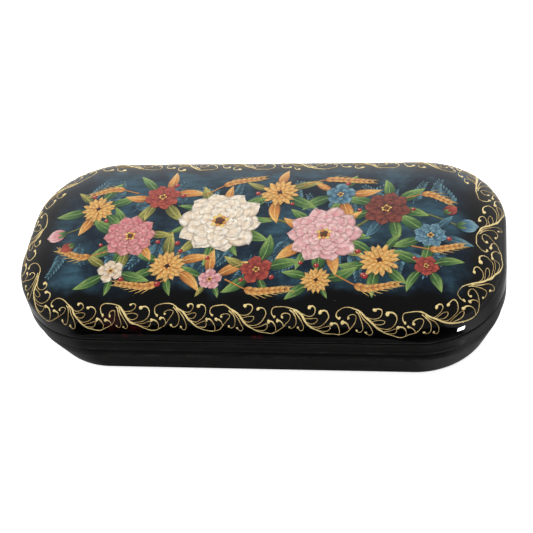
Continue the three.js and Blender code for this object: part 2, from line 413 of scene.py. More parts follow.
def hinge_leaf(name, x, side, knuckle_xs):
    """A hinge leaf: plate, webs and knuckles. Side is 1 on the lid and -1 on the base."""
    half = HINGE_LENGTH / 2
    inner = HALF_W - LEAF
    low, high = sorted((HINGE_Z + side * LEAF_START, HINGE_Z + side * LEAF_END))
    leaf = box_mm(name, (x - half, inner, low), (x + half, HALF_W, high))
    low, high = sorted((HINGE_Z + side * (BARREL - LEAF), HINGE_Z + side * (LEAF_END - WEB_MARGIN)))
    joined = []
    for middle in knuckle_xs:
        start = x + middle - KNUCKLE / 2
        end = x + middle + KNUCKLE / 2
        joined.append(box_mm("web", (start, inner + WEB_SKIN, low), (end, HALF_W - WEB_SKIN, high)))
        joined.append(rod_mm("knuckle", BARREL, start, end, ease=KNUCKLE_EASE))
    combine(leaf, joined, "UNION")
    reach = half + CUT_SPARE
    combine(leaf, [rod_mm("pin_room", PIN + PIN_CLEAR, x - reach, x + reach, 32)], "DIFFERENCE")
    return smoothed(leaf, 30)


def nail_shape():
    """One small domed nail, head towards +Y, with its head's seat at the origin."""
    sides = 20
    turns = np.linspace(0, math.pi / 2, 7)[:-1]
    head = [(NAIL_HEAD * math.cos(t), NAIL_RISE * math.sin(t)) for t in turns]
    rings = [(NAIL_SHANK, -NAIL_LENGTH), (NAIL_SHANK, 0.0), *head]
    points = [(radius * x, y, radius * z) for radius, y in rings for x, z in circle(sides)]
    points.append((0, NAIL_RISE, 0))
    return smoothed(new_object("nail_shape", points, tube_faces(len(rings), sides, tip=True)), 40)


# Node trees

class Value:
    """An output of a node that can be reckoned with: each sign adds a Math node to its tree."""

    def __init__(self, socket):
        self.socket = socket
        self.tree = socket.id_data

    def __add__(self, other):
        return reckoned("ADD", self, other)

    def __sub__(self, other):
        return reckoned("SUBTRACT", self, other)

    def __rsub__(self, other):
        return reckoned("SUBTRACT", other, self)

    def __mul__(self, other):
        return reckoned("MULTIPLY", self, other)

    def __truediv__(self, other):
        return reckoned("DIVIDE", self, other)

    def __mod__(self, other):
        return reckoned("FLOORED_MODULO", self, other)

    def __abs__(self):
        return reckoned("ABSOLUTE", self)


class Outputs:
    """The outputs of a node, by name or number."""

    def __init__(self, node):
        self.node = node

    def __getitem__(self, key):
        return Value(self.node.outputs[key])


def add_node(tree, kind, inputs=None, **settings):
    """Adds a node with its settings, fills inputs by name or number, and gives its outputs."""
    made = tree.nodes.new(kind)
    for key, value in settings.items():
        setattr(made, key, value)
    for name, value in (inputs or {}).items():
        if isinstance(value, Value):
            tree.links.new(value.socket, made.inputs[name])
        else:
            made.inputs[name].default_value = value
    return Outputs(made)


def reckoned(operation, first, second=0.0):
    """A Math node on values or numbers, or a Vector Math node where the first is a vector."""
    given = first if isinstance(first, Value) else second
    kind = "ShaderNodeMath"
    inputs = {0: first, 1: second}
    if given is first and first.socket.type == "VECTOR":
        kind = "ShaderNodeVectorMath"
        if operation == "MULTIPLY":
            operation = "SCALE"
            inputs = {0: first, "Scale": second}
    return add_node(given.tree, kind, inputs, operation=operation)[0]


def greater(first, second):
    return reckoned("MAXIMUM", first, second)


def between(value, low, high, to_low=0.0, to_high=1.0):
    """A smooth step of a value between two limits."""
    inputs = {"Value": value, "From Min": low, "From Max": high, "To Min": to_low, "To Max": to_high}
    return add_node(value.tree, "ShaderNodeMapRange", inputs, interpolation_type="SMOOTHSTEP")[0]


def fading(value, low, high, top=1.0):
    """A smooth step down to nothing."""
    return between(value, low, high, top, 0.0)


def mixed(factor, first, second):
    """A colour between two colours."""
    return add_node(factor.tree, "ShaderNodeMix", {0: factor, 6: first, 7: second}, data_type="RGBA")[2]


def noise(place, scale, detail=3.0, rough=0.5):
    inputs = {"Vector": place, "Scale": scale, "Detail": detail, "Roughness": rough}
    return add_node(place.tree, "ShaderNodeTexNoise", inputs)["Fac"]


def mapped(place, scale, turn=(0, 0, 0)):
    inputs = {"Vector": place, "Rotation": turn, "Scale": scale}
    return add_node(place.tree, "ShaderNodeMapping", inputs)[0]


def bumped(height, depth):
    inputs = {"Height": height, "Distance": depth, "Strength": 1.0}
    return add_node(height.tree, "ShaderNodeBump", inputs)[0]


def xyz(vector):
    axes = add_node(vector.tree, "ShaderNodeSeparateXYZ", {0: vector})
    return axes[0], axes[1], axes[2]


def upright(value):
    """A vector straight up."""
    return add_node(value.tree, "ShaderNodeCombineXYZ", {"Z": value})[0]


def part_place(tree):
    return add_node(tree, "ShaderNodeTexCoord")["Object"]


def new_group(kind, name, inputs, outputs):
    """An empty node group with the named sockets, what it is given, and its inputs' identifiers."""
    tree = bpy.data.node_groups.new(name, kind)
    known = {}
    for label, sort in inputs.items():
        socket = tree.interface.new_socket(label, in_out="INPUT", socket_type="NodeSocket" + sort)
        known[label] = socket.identifier
    for label, sort in outputs.items():
        tree.interface.new_socket(label, in_out="OUTPUT", socket_type="NodeSocket" + sort)
    return tree, add_node(tree, "NodeGroupInput"), known


# Shader groups for effects that several materials share

def number_group(name, inputs, outputs):
    """A shader group of numbers, what it is given, and the place on the part."""
    sorts = (dict.fromkeys(labels, "Float") for labels in (inputs, outputs))
    tree, given, _ = new_group("ShaderNodeTree", name, *sorts)
    return tree, given, part_place(tree)


def end_group(tree, **outputs):
    add_node(tree, "NodeGroupOutput", outputs)
    return tree


def use_group(tree, group, **inputs):
    named = {label.replace("_", " "): value for label, value in inputs.items()}
    return add_node(tree, "ShaderNodeGroup", named, node_tree=group)


def handling_marks():
    """Cloudy polish, fine hair scratches and dust specks that handling leaves on lacquer and metal."""
    sizes = ("Cloud Size", "Scratch Size")
    tree, given, place = number_group("handling_marks", sizes, ("Cloud", "Scratch", "Speck"))
    cloud = noise(place, given["Cloud Size"], 5.0, 0.6)
    hair = noise(mapped(place, (0.09, 1.0, 1.0), (0.2, 0.4, 0.7)), given["Scratch Size"], 2.0, 0.4)
    scratch = fading(abs(hair - 0.5), 0.0, 0.012) * between(noise(place, 90.0, 2.0), 0.5, 0.68)
    grains = add_node(tree, "ShaderNodeTexVoronoi", {"Vector": place, "Scale": 420.0})["Distance"]
    speck = fading(grains, 0.05, 0.12) * between(noise(place, 260.0, 1.0), 0.66, 0.72)
    return end_group(tree, Cloud=cloud, Scratch=scratch, Speck=speck)


def wound_streaks():
    """Level streaks of the wound paper layers that show through satin lacquer."""
    tree, given, place = number_group("wound_streaks", ("Streaks",), ("Streak", "Height"))
    level = mapped(place, (0.012, 0.012, 1.0))
    fine = noise(level, given["Streaks"], 3.0, 0.6)
    broad = noise(level, given["Streaks"] * 0.3, 2.0)
    both = fine * 0.6 + broad * 0.4
    return end_group(tree, Streak=between(both, 0.36, 0.66), Height=both)


def brush_load():
    """Uneven load of paint under a brush."""
    tree, given, place = number_group("brush_load", ("Brush Size",), ("Load", "Grain"))
    load = noise(place, given["Brush Size"], 3.0, 0.55)
    grain = noise(place, given["Brush Size"] * 5.0, 2.0)
    return end_group(tree, Load=between(load, 0.3, 0.7), Grain=grain)


HANDLING = handling_marks()
WINDING = wound_streaks()
BRUSH = brush_load()


# Materials

def rgb(red, green, blue):
    return (red, green, blue, 1.0)


MIRROR_BLACK = rgb(0.0010, 0.0010, 0.0011)
BAND_BLACK = rgb(0.0034, 0.0034, 0.0033)
BASE_BLACK = rgb(0.0032, 0.0032, 0.0031)
PAINTED_LIGHT_WALL_BLACK = rgb(0.0065, 0.0065, 0.0062)
STREAK_BLACK = rgb(0.0125, 0.0125, 0.0120)
RUBBED_HIGHLIGHT_GREY = rgb(0.040, 0.039, 0.037)
NIGHT_BLUE = rgb(0.0040, 0.0090, 0.0175)
MIST_BLUE = rgb(0.027, 0.070, 0.098)
UNDER_RED = rgb(0.075, 0.003, 0.010)
STREAKS = 1500.0
STREAK_DEPTH = 0.06 * MM

# Rubbed edges of the base, lighter from wear and from a painted highlight, in millimetres: height and half
# width, then strength
RUBBED_HIGHLIGHT_EDGES = ((BASE_TOP - 0.9, 0.5, 0.5), (RIM_BOTTOM + 0.4, 0.8, 1.0), (SHOULDER - 0.4, 1.2, 1.0))

# Specks of red underpaint: place and radius in millimetres, then strength
RED_SPECKS = (
    (-41.0, -38.0, 24.2, 1.5, 1.0), (-35.5, -38.0, 24.6, 1.2, 0.9), (2.2, -38.0, 24.3, 1.6, 1.0),
    (4.2, -38.0, 24.5, 1.6, 1.0), (-44.3, -37.1, 30.0, 5.0, 0.3), (-37.0, -37.7, 28.6, 4.0, 0.25),
)


def emptied_tree(owner):
    """The node tree of a material or world, with nothing in it."""
    owner.use_nodes = True
    owner.node_tree.nodes.clear()
    return owner.node_tree


def new_material(name, build, *values):
    material = bpy.data.materials.new(name)
    build(emptied_tree(material), *values)
    return material


def principled(tree, **inputs):
    """Ends a material with a Principled shader, whose sockets take even values or links."""
    named = {label.replace("_", " "): value for label, value in inputs.items()}
    shader = add_node(tree, "ShaderNodeBsdfPrincipled", named)
    add_node(tree, "ShaderNodeOutputMaterial", {"Surface": shader[0]})


def near_level(z, level, width, strength):
    """A soft level line at a height in millimetres."""
    return fading(abs(z - level * MM), 0.0, width * MM, strength)


def patches(place, low, high):
    return between(noise(place, 160.0, 4.0, 0.65), low, high)


def red_specks(place):
    """Where the red underpaint shows through, as a few ragged specks low on the lid's front."""
    shown = []
    for x, y, z, radius, strength in RED_SPECKS:
        spots = {0: place, 1: (x * MM, y * MM, z * MM)}
        away = add_node(place.tree, "ShaderNodeVectorMath", spots, operation="DISTANCE")["Value"]
        shown.append(fading(away, 0.0, radius * MM, strength))
    return reduce(greater, shown) * between(noise(place, 900.0, 3.0, 0.7), 0.38, 0.56)


def lid_lacquer(tree):
    """Polished black lacquer with a soft blue ground on the dome, and satin lacquer on the band."""
    place = part_place(tree)
    x, y, z = xyz(place)
    marks = use_group(tree, HANDLING, Cloud_Size=70.0, Scratch_Size=420.0)
    streaks = use_group(tree, WINDING, Streaks=STREAKS)
    # The polish reaches lower towards the ends
    line = between(abs(x + 4 * MM), 42 * MM, 76 * MM, POLISH_LINE * MM, (LID_BOTTOM - 0.5) * MM)
    polished = between(z - line, -0.12 * MM, 0.12 * MM)
    # The blue ground fades out under the border
    drift = (noise(place, 60.0, 4.0, 0.6) - 0.5) * (14 * MM)
    ground = fading(abs(x) + drift, 65 * MM, 74 * MM) * fading(abs(y - MM) + drift, 24 * MM, 30.5 * MM)
    puffs = between(noise(place, 75.0, 4.0, 0.6), 0.36, 0.66)
    strokes = between(noise(mapped(place, (0.25, 1, 1), (0, 0, 0.5)), 420.0, 3.0, 0.6), 0.35, 0.68)
    blue = mixed(puffs * (strokes * 0.55 + 0.45), NIGHT_BLUE, MIST_BLUE)
    black = mixed(streaks["Streak"], BAND_BLACK, STREAK_BLACK)
    colour = mixed(ground * polished, mixed(polished, black, MIRROR_BLACK), blue)
    colour = mixed(red_specks(place), colour, UNDER_RED)
    # A lighter line just above the lid's lower edge: partly rubbed wear, partly a painted highlight
    foot = near_level(z, LID_BOTTOM + 0.9, 0.5, 0.6)
    colour = mixed(foot * patches(place, 0.30, 0.6), colour, RUBBED_HIGHLIGHT_GREY)
    colour = mixed(marks["Speck"] * 0.5, colour, rgb(0.12, 0.115, 0.11))
    satin = between(streaks["Streak"], 0.0, 1.0, 0.30, 0.42)
    gloss = between(marks["Cloud"], 0.3, 0.7, 0.025, 0.055) + marks["Scratch"] * 0.08
    rough = add_node(tree, "ShaderNodeMix", {0: polished, 2: satin, 3: gloss})[0]
    ripple = bumped(streaks["Height"] * (1.0 - polished), STREAK_DEPTH)
    principled(tree, Base_Color=colour, Roughness=rough, Normal=ripple, Specular_IOR_Level=0.5)


def satin_lacquer(tree):
    """Satin black lacquer over wound paper, with painted light on its lower wall, and edges lighter from
    rubbed wear and a painted highlight.
    """
    place = part_place(tree)
    z = xyz(place)[2]
    marks = use_group(tree, HANDLING, Cloud_Size=110.0, Scratch_Size=380.0)
    streaks = use_group(tree, WINDING, Streaks=STREAKS)
    colour = mixed(streaks["Streak"], BASE_BLACK, STREAK_BLACK)
    # Below the shoulder the wall is painted lighter: painted light that the tapered lower wall catches
    # from the floor
    colour = mixed(fading(z, (SHOULDER - 1.0) * MM, SHOULDER * MM, 0.75), colour, PAINTED_LIGHT_WALL_BLACK)
    # Lighter bands at the rim's and tray's edges: partly rubbed wear, partly a painted highlight
    edges = reduce(greater, [near_level(z, *rub) for rub in RUBBED_HIGHLIGHT_EDGES])
    colour = mixed(edges * patches(place, 0.42, 0.7) * 0.85, colour, RUBBED_HIGHLIGHT_GREY)
    colour = mixed(marks["Speck"] * 0.6, colour, rgb(0.11, 0.105, 0.10))
    rough = between(marks["Cloud"], 0.25, 0.75, 0.28, 0.44)
    principled(tree, Base_Color=colour, Roughness=rough, Normal=bumped(streaks["Height"], STREAK_DEPTH),
               Specular_IOR_Level=0.5, Sheen_Weight=0.045, Sheen_Roughness=0.35)


def red_lacquer(tree):
    """Red lacquer with a little polish left."""
    marks = use_group(tree, HANDLING, Cloud_Size=90.0, Scratch_Size=400.0)
    cloud = between(marks["Cloud"], 0.3, 0.7)
    colour = mixed(cloud, rgb(0.20, 0.008, 0.007), rgb(0.34, 0.018, 0.012))
    colour = mixed(marks["Scratch"] * 0.35, colour, rgb(0.42, 0.08, 0.06))
    rough = between(marks["Cloud"], 0.3, 0.7, 0.16, 0.3)
    ripple = bumped(noise(part_place(tree), 500.0, 2.0), 0.03 * MM)
    principled(tree, Base_Color=colour, Roughness=rough, Normal=ripple,
               Coat_Weight=0.4, Coat_Roughness=0.08)


def red_velvet(tree):
    """Short red pile with brushed patches."""
    place = part_place(tree)
    pile = noise(place, 5200.0, 2.0, 0.6)
    tuft = between(pile, 0.3, 0.7)
    brushed = between(noise(place, 60.0, 4.0, 0.6), 0.35, 0.68)
    colour = mixed(brushed, rgb(0.085, 0.003, 0.005), rgb(0.19, 0.008, 0.012))
    colour = mixed(tuft * 0.55, colour, rgb(0.30, 0.016, 0.02))
    rough = between(tuft, 0.0, 1.0, 0.95, 0.8)
    principled(tree, Base_Color=colour, Roughness=rough, Normal=bumped(pile, 0.12 * MM),
               Sheen_Weight=0.55, Sheen_Roughness=0.35, Sheen_Tint=rgb(0.9, 0.35, 0.33),
               Specular_IOR_Level=0.1)


def aged_metal(tree, bright, dull, low, high):
    """Metal with patchy tarnish and fine scratches."""
    marks = use_group(tree, HANDLING, Cloud_Size=380.0, Scratch_Size=1400.0)
    colour = mixed(between(marks["Cloud"], 0.36, 0.66), bright, dull)
    rough = between(marks["Cloud"], 0.3, 0.7, low, high) + marks["Scratch"] * 0.15
    scratched = bumped(marks["Scratch"], 0.02 * MM)
    principled(tree, Base_Color=colour, Roughness=rough, Normal=scratched, Metallic=1.0)


def gold_paint(tree):
    """Pale gold paint under varnish, thin in places."""
    brush = use_group(tree, BRUSH, Brush_Size=500.0)
    load = add_node(tree, "ShaderNodeAttribute", attribute_name="load")["Fac"]
    full = between(brush["Load"] * 0.6 + load, 0.35, 1.25)
    colour = mixed(full, rgb(0.40, 0.25, 0.075), rgb(0.72, 0.565, 0.245))
    rough = between(brush["Grain"], 0.3, 0.7, 0.28, 0.42)
    principled(tree, Base_Color=colour, Roughness=rough, Normal=bumped(brush["Grain"], 0.02 * MM),
               Metallic=0.12, Coat_Weight=1.0, Coat_Roughness=0.06)


def miniature_paint(tree):
    """Fine brushed colours from the shapes' own tints, under varnish."""
    brush = use_group(tree, BRUSH, Brush_Size=800.0)
    tint = add_node(tree, "ShaderNodeAttribute", attribute_name="tint")["Color"]
    inputs = {0: 1.0, 6: tint, 7: rgb(0.74, 0.70, 0.68)}
    deep = add_node(tree, "ShaderNodeMix", inputs, data_type="RGBA", blend_type="MULTIPLY")[2]
    rough = between(brush["Grain"], 0.3, 0.7, 0.35, 0.5)
    principled(tree, Base_Color=mixed(brush["Load"], deep, tint), Roughness=rough,
               Normal=bumped(brush["Grain"], 0.015 * MM), Coat_Weight=0.8, Coat_Roughness=0.05)


LID_LACQUER = new_material("lid_lacquer", lid_lacquer)
SATIN = new_material("satin_lacquer", satin_lacquer)
RED_LACQUER = new_material("red_lacquer", red_lacquer)
VELVET = new_material("red_velvet", red_velvet)
GOLD = new_material("gold_paint", gold_paint)
MINIATURE = new_material("miniature_paint", miniature_paint)
BRASS = new_material("tarnished_brass", aged_metal,
                     rgb(0.62, 0.42, 0.15), rgb(0.30, 0.19, 0.07), 0.22, 0.45)
STEEL = new_material("drawn_steel", aged_metal,
                     rgb(0.46, 0.46, 0.47), rgb(0.25, 0.24, 0.23), 0.25, 0.45)


def place_piece(piece, body, slot, material, *nodes):
    """Dresses a finished piece, lets it ride on its body and stand for its CAD nodes."""
    if material:
        piece.data.materials.clear()
        piece.data.materials.append(material)
    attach(piece, body)
    if nodes:
        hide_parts(*nodes)
    return piece


# Geometry Nodes

def geometry_group(name, **inputs):
    both_ways = {"Geometry": "Geometry"}
    return new_group("GeometryNodeTree", name, {**both_ways, **inputs}, both_ways)


def end_growth(geometry, material):
    inputs = {"Geometry": geometry, "Material": material}
    dressed = add_node(geometry.tree, "GeometryNodeSetMaterial", inputs)[0]
    add_node(geometry.tree, "NodeGroupOutput", {0: dressed})


def shape_of(thing):
    return add_node(thing.tree, "GeometryNodeObjectInfo", {"Object": thing})["Geometry"]


def placed(points, shape, **inputs):
    """A shape set on each point, as real geometry."""
    inputs = {"Points": points, "Instance": shape, **inputs}
    copies = add_node(points.tree, "GeometryNodeInstanceOnPoints", inputs)[0]
    return add_node(points.tree, "GeometryNodeRealizeInstances", {0: copies})[0]


def grown_mesh(name, host, tree, known, values):
    """Runs a geometry tree on a host object and keeps the result as a plain mesh object."""
    run = host.modifiers.new("grow", "NODES")
    run.node_group = tree
    for label, value in values.items():
        run[known[label]] = value
    mesh = baked(host)
    mesh.name = name
    bpy.data.objects.remove(host)
    return linked(name, mesh)


# How far a nail turns about its own axis at most, and the seed of the turns
NAIL_TURN = 6.283
NAIL_SEED = 7


def nail_tree():
    """Sets a nail on each point, turned a little so that no two sit alike."""
    tree, given, known = geometry_group("set_nails", Nail="Object", Metal="Material", Seed="Int")
    turns = {0: (0.0, 0.0, 0.0), 1: (0.0, NAIL_TURN, 0.0), "Seed": given["Seed"]}
    spin = add_node(tree, "FunctionNodeRandomValue", turns, data_type="FLOAT_VECTOR")[0]
    end_growth(placed(given["Geometry"], shape_of(given["Nail"]), Rotation=spin), given["Metal"])
    return tree, known


# Gold scroll

SCROLL_PATH_INSET = 5.0
SCROLL_PATH_STEPS = 480
SCROLL_REPEATS = 19
SCROLL_LOW_ARC = 5.3
SCROLL_DRAWN_PERIOD = 21.8
SCROLL_FRONT_FORK = -3.3
SCROLL_FINE = 0.58
SCROLL_WOBBLE = 3.2
SCROLL_SOFTENING = 27

# How far the hand-drawn units stray: unit counted from the front fork, then along and up in millimetres
SCROLL_STRAY = [
    (-6, 2.7, 1.5), (-5, 6.9, 0.3), (-4, 8.8, 2.0), (-3, 6.0, -0.7), (-2, 1.8, 0.2), (-1, 0.3, 0.2),
    (0, -2.2, 0.3), (1, -3.3, 0.1), (2, -2.6, -0.7), (3, -3.6, -1.8), (3.5, -4.8, 1.0), (4, -6.2, 1.4),
    (4.6, -4.6, 4.0), (5, -2.9, 4.2), (6, -2.0, 1.6), (7, -4.3, 1.5), (8, -4.1, 1.7), (9, -3.1, 2.0),
    (10, -2.6, 2.1), (11, -3.1, 2.1), (12, -3.6, 1.9),
]

# Strokes of one unit in millimetres: points along the border and up from its low line, then widths
SCROLL_STROKES = [
    ([(-6.0, 5.7), (-6.9, 6.5), (-6.9, 8.0), (-5.5, 9.2), (-3.3, 9.6), (-1.2, 9.3), (0.5, 8.6), (2.9, 7.0),
      (4.9, 5.0), (7.3, 2.8), (10.4, 1.1), (13.6, 0.2), (16.2, 0.7), (18.9, 2.3), (20.9, 4.6), (21.6, 6.5),
      (20.9, 7.2), (19.5, 7.0), (18.6, 6.2), (18.9, 5.6)],
     [0.75, 0.42, 0.5, 0.8, 1.15, 0.95, 0.7, 0.62, 0.42, 0.36, 0.36, 0.6]),
    ([(-0.5, 8.4), (0.8, 7.2), (1.9, 5.2), (2.0, 3.2), (1.2, 2.1), (0.2, 1.9), (-0.3, 2.5)],
     [0.7, 0.55, 0.4, 0.32, 0.45]),
    ([(0.6, 8.2), (2.0, 6.7), (3.8, 4.6), (4.7, 2.6), (4.3, 1.2), (3.5, 0.9), (2.7, 1.9)],
     [0.7, 0.55, 0.4, 0.3, 0.45]),
    ([(2.6, 7.3), (4.4, 6.6), (6.3, 6.8), (7.6, 7.9), (7.5, 9.2), (6.4, 9.7), (5.5, 9.3)],
     [0.4, 0.36, 0.34, 0.55, 0.9]),
    ([(4.4, 5.7), (7.0, 6.3), (8.5, 6.0), (8.2, 5.1), (6.8, 4.6), (4.9, 5.1)], [0.3, 0.3, 0.36, 0.3]),
    ([(5.4, 4.5), (7.3, 3.5), (9.4, 3.6), (11.5, 4.7), (12.7, 6.5), (12.1, 8.0), (10.8, 8.5), (9.4, 8.1)],
     [0.4, 0.36, 0.36, 0.6, 0.95]),
    ([(8.0, 2.5), (11.0, 3.3), (12.7, 3.7), (12.9, 2.7), (11.7, 1.7), (9.2, 2.0)], [0.3, 0.3, 0.42, 0.3]),
    ([(13.3, 4.3), (14.9, 4.3), (16.1, 3.4), (16.4, 2.1), (15.9, 0.7)], [0.95, 0.75, 0.4, 0.34]),
    ([(17.1, 4.7), (18.3, 4.5), (19.1, 3.7), (19.3, 2.6)], [0.85, 0.7, 0.4, 0.34]),
]

# A stroke's section in shares of its half width and heights, and the half width that holds a full load
STROKE_SECTION = [(-1, -0.06), (-1, 0.02), (-0.5, 0.075), (0, 0.09), (0.5, 0.075), (1, 0.02), (1, -0.06)]
FULL_LOAD = 0.26

# Beads of one unit: place and radius, then the shares and heights of a bead's rings
SCROLL_BEADS = [
    ((-6.0, 5.8), 0.5), ((-0.3, 2.5), 0.42), ((2.8, 1.9), 0.42), ((5.5, 9.2), 0.62),
    ((9.5, 8.0), 0.66), ((13.4, 4.2), 0.62), ((17.2, 4.6), 0.56), ((18.9, 5.7), 0.42),
]
BEAD_SIZE = 0.95
BEAD_SIDES = 12
BEAD_RINGS = ((1, -0.06), (1, 0.03), (0.62, 0.11))
BEAD_TOP = 0.13


def run_of(line):
    """How far along a line each of its points lies."""
    return np.r_[0, np.cumsum(np.linalg.norm(np.diff(line, axis=0), axis=1))]


def at_runs(line, runs):
    """Points of a line at lengths along it."""
    far = run_of(line)
    return np.c_[np.interp(runs, far, line[:, 0]), np.interp(runs, far, line[:, 1])]


def flowing(points, spacing):
    """A smooth line through points, with even spacing."""
    points = np.asarray(points, float)
    ends = np.vstack([2 * points[0] - points[1], points, 2 * points[-1] - points[-2]])
    t = np.linspace(0, 1, 12, endpoint=False)[:, None]
    line = []
    for i in range(len(points) - 1):
        a, b, c, d = ends[i:i + 4]
        bow = (2 * a - 5 * b + 4 * c - d) * t ** 2
        line.append(0.5 * (2 * b + (c - a) * t + bow + (3 * b - a - 3 * c + d) * t ** 3))
    line = np.vstack([*line, points[-1:]])
    length = run_of(line)[-1]
    count = max(4, int(round(length / spacing)))
    return at_runs(line, np.linspace(0, length, count + 1))


def left_of(line):
    """Unit directions to the left of a line at each of its points."""
    forward = np.gradient(line, axis=0)
    forward /= np.linalg.norm(forward, axis=1)[:, None]
    return np.c_[-forward[:, 1], forward[:, 0]]


def half_widths(line, widths):
    """Half of the widths, spread over a line's points."""
    return np.interp(np.linspace(0, 1, len(line)), np.linspace(0, 1, len(widths)), widths) / 2


def scroll_unit():
    """One unit of the scroll as raised strokes and beads, along X, with Y as the inset from its path."""
    points, faces, load = [], [], []
    for drawn, widths in SCROLL_STROKES:
        line = flowing(drawn, 0.5)
        faces += tube_faces(len(line), len(STROKE_SECTION), len(points))
        for spot, across, half in zip(line, left_of(line), half_widths(line, widths) * SCROLL_FINE):
            points += [(*(spot - across * half * reach), height) for reach, height in STROKE_SECTION]
            load += [half / FULL_LOAD] * len(STROKE_SECTION)
    for spot, radius in SCROLL_BEADS:
        faces += tube_faces(len(BEAD_RINGS), BEAD_SIDES, len(points), tip=True)
        for reach, height in BEAD_RINGS:
            ring = spot + circle(BEAD_SIDES) * radius * BEAD_SIZE * reach
            points += [(*place, height) for place in ring]
        points.append((*spot, BEAD_TOP))
        load += [1.0] * (len(BEAD_RINGS) * BEAD_SIDES + 1)
    return np.array(points), flipped(faces), np.clip(load, 0, 1)


def sampled(curve, length):
    """Position, tangent and stray of a curve at a length."""
    sort = {"data_type": "FLOAT_VECTOR"}
    stray = add_node(curve.tree, "GeometryNodeInputNamedAttribute", {"Name": "stray"}, **sort)[0]
    inputs = {"Curves": curve, "Value": stray, "Length": length}
    return add_node(curve.tree, "GeometryNodeSampleCurve", inputs, mode="LENGTH", **sort)


def scroll_tree():
    """Repeats the unit along the border's path and up the lid's section, and lays it on the lid."""
    tree, given, known = geometry_group(
        "lay_scroll", Unit="Object", Lid="Object", Section="Object", Repeats="Int", Start="Float",
        Low="Float", Wobble="Float", Gold="Material")
    path = add_node(tree, "GeometryNodeMeshToCurve", {"Mesh": given["Geometry"]})[0]
    profile = add_node(tree, "GeometryNodeMeshToCurve", {"Mesh": shape_of(given["Section"])})[0]
    length = add_node(tree, "GeometryNodeCurveLength", {0: path})[0]
    step = add_node(tree, "ShaderNodeCombineXYZ", {"X": length / given["Repeats"]})[0]
    line = add_node(tree, "GeometryNodeMeshLine", {"Count": given["Repeats"], "Offset": step})[0]
    row = placed(line, shape_of(given["Unit"]))
    x, y, z = xyz(add_node(tree, "GeometryNodeInputPosition")[0])
    along = (x + given["Start"]) % length
    stray_along, stray_up, _ = xyz(sampled(path, along)["Value"])
    on_path = sampled(path, (along + stray_along) % length)
    vectors = {0: (0, 0, 1), 1: on_path["Tangent"]}
    inward = add_node(tree, "ShaderNodeVectorMath", vectors, operation="CROSS_PRODUCT")[0]
    near = on_path["Position"] + inward * y
    lift = (noise(near + (0, 0, 0.05), 150.0, 1.0) - 0.5) * given["Wobble"]
    on_section = sampled(profile, y + stray_up + given["Low"] + lift)
    section_x, _, section_z = xyz(on_section["Position"])
    slope_x, _, slope_z = xyz(on_section["Tangent"])
    flat = on_path["Position"] + inward * section_x
    drift = (noise(flat, 120.0, 1.0) - 0.5) * given["Wobble"]
    guess = flat + on_path["Tangent"] * drift + upright(section_z)
    facing = inward * (slope_z * -1.0) + upright(slope_x)
    hit = add_node(tree, "GeometryNodeRaycast", {
        "Target Geometry": shape_of(given["Lid"]), "Source Position": guess + facing * (5 * MM),
        "Ray Direction": facing * -1.0, "Ray Length": 20 * MM})
    spot = hit["Hit Position"] + hit["Hit Normal"] * z
    laid = add_node(tree, "GeometryNodeSetPosition", {"Geometry": row, "Position": spot})[0]
    end_growth(laid, given["Gold"])
    return tree, known


def gold_scroll(lid):
    """The scroll round the lid's border, grown along a path that holds how far each unit strays."""
    steps = SCROLL_PATH_STEPS
    ring = outline(SCROLL_PATH_INSET, 48)
    ring = np.vstack([ring, ring[:1]])
    length = run_of(ring)[-1]
    even = np.linspace(0, length, steps, endpoint=False)
    path = np.c_[at_runs(ring, even), np.zeros(steps)]
    front = np.where(path[:, 1] < 0, np.abs(path[:, 0] - SCROLL_FRONT_FORK), 1e9).argmin()
    period = length / SCROLL_REPEATS
    unit_number = (even - even[front]) / period
    table = np.array(SCROLL_STRAY)
    soft = np.hanning(SCROLL_SOFTENING)[1:-1]
    stray = np.zeros((steps, 3))
    for axis in (0, 1):
        raw = np.interp(unit_number, table[:, 0], table[:, 1 + axis], period=SCROLL_REPEATS)
        stray[:, axis] = np.convolve(np.tile(raw, 3), soft / soft.sum(), "same")[steps:2 * steps]
    host = new_object("scroll_path", path, edges=[(i, (i + 1) % steps) for i in range(steps)])
    store(host, "stray", "FLOAT_VECTOR", "vector", stray * MM)
    section = np.vstack([(0, LID_BOTTOM), dome_section(0, 400)[::-1]])
    climb = np.c_[section[:, 0] - SCROLL_PATH_INSET, np.zeros(len(section)), section[:, 1]]
    climb = new_object("lid_section", climb, edges=[(i, i + 1) for i in range(len(section) - 1)])
    points, faces, load = scroll_unit()
    points[:, 0] *= period / SCROLL_DRAWN_PERIOD
    unit = new_object("scroll_unit", points, faces)
    unit.data.shade_smooth()
    store(unit, "load", "FLOAT", "value", load)
    scroll = grown_mesh("gold_scroll", host, *scroll_tree(), {
        "Unit": unit, "Lid": lid, "Section": climb, "Repeats": SCROLL_REPEATS, "Start": even[front] * MM,
        "Low": SCROLL_LOW_ARC * MM, "Wobble": SCROLL_WOBBLE * MM, "Gold": GOLD})
    bpy.data.objects.remove(unit)
    bpy.data.objects.remove(climb)
    return scroll


# Painted flowers

